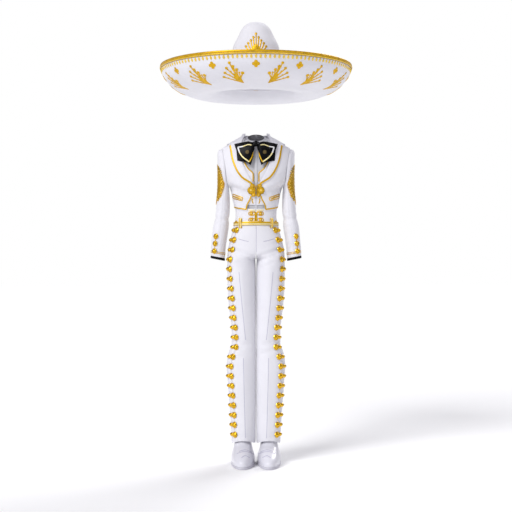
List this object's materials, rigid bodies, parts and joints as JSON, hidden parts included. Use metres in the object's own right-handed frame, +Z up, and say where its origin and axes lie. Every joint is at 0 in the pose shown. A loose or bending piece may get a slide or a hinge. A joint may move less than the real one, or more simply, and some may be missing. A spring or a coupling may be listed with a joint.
{
  "type": "charro suit",
  "caption": "White charro suit with gold trim: wide upturned sombrero, bow tie, short jacket, waistcoat, shirt, tall-waisted trousers with concha strips, and boots, hollow as worn.",
  "frame": {"origin": "middle of the shoulder line, between the front and the back, where the wearer's shoulders carry the jacket", "axes": "+Z up through the neck, the front faces -Y, the wearer's left is at +X"},
  "size_m": [0.8506, 0.8444, 1.9337],
  "materials": {
    "suit_cloth": "smooth white wool with a soft sheen",
    "shirt_cloth": "plain matte cotton",
    "black_satin": "black satin",
    "hat_felt": "matte blocked felt",
    "gold_braid": "gold metal and braid, softly polished",
    "boot_leather": "smooth white leather"
  },
  "bodies": {
    "root": {"belt": "gold_braid", "belt_loop_back": "gold_braid", "belt_loop_left": "gold_braid", "belt_loop_right": "gold_braid", "boot_sole_left": "boot_leather", "boot_sole_right": "boot_leather", "boot_upper_left": "boot_leather", "boot_upper_right": "boot_leather", "bow_knot": "black_satin", "bow_tail_left": "black_satin", "bow_tail_right": "black_satin", "bow_wing_left": "black_satin", "bow_wing_right": "black_satin", "collar_back": "suit_cloth", "cuff_band_left": "black_satin", "cuff_band_right": "black_satin", "cuff_rosettes_left": "gold_braid", "cuff_rosettes_right": "gold_braid", "front_clasp_left": "gold_braid", "front_clasp_right": "gold_braid", "jacket_back": "suit_cloth", "jacket_front_left": "suit_cloth", "jacket_front_right": "suit_cloth", "lapel_left": "suit_cloth", "lapel_right": "suit_cloth", "leg_conchas_left": "gold_braid", "leg_conchas_right": "gold_braid", "pocket_welt_left": "suit_cloth", "pocket_welt_right": "suit_cloth", "shirt_back": "shirt_cloth", "shirt_collar_left": "shirt_cloth", "shirt_collar_right": "shirt_cloth", "shirt_front_left": "shirt_cloth", "shirt_front_right": "shirt_cloth", "shirt_placket": "shirt_cloth", "sleeve_under_left": "suit_cloth", "sleeve_under_right": "suit_cloth", "sleeve_upper_left": "suit_cloth", "sleeve_upper_right": "suit_cloth", "sombrero_brim": "hat_felt", "sombrero_crown": "hat_felt", "sombrero_edge_binding": "gold_braid", "trouser_back_left": "suit_cloth", "trouser_back_right": "suit_cloth", "trouser_front_left": "suit_cloth", "trouser_front_right": "suit_cloth", "waist_frog_left": "gold_braid", "waist_frog_right": "gold_braid", "waistband_back": "suit_cloth", "waistband_front_left": "suit_cloth", "waistband_front_right": "suit_cloth", "waistcoat_back": "suit_cloth", "waistcoat_front_left": "suit_cloth", "waistcoat_front_right": "suit_cloth"}
  },
  "joints": []
}
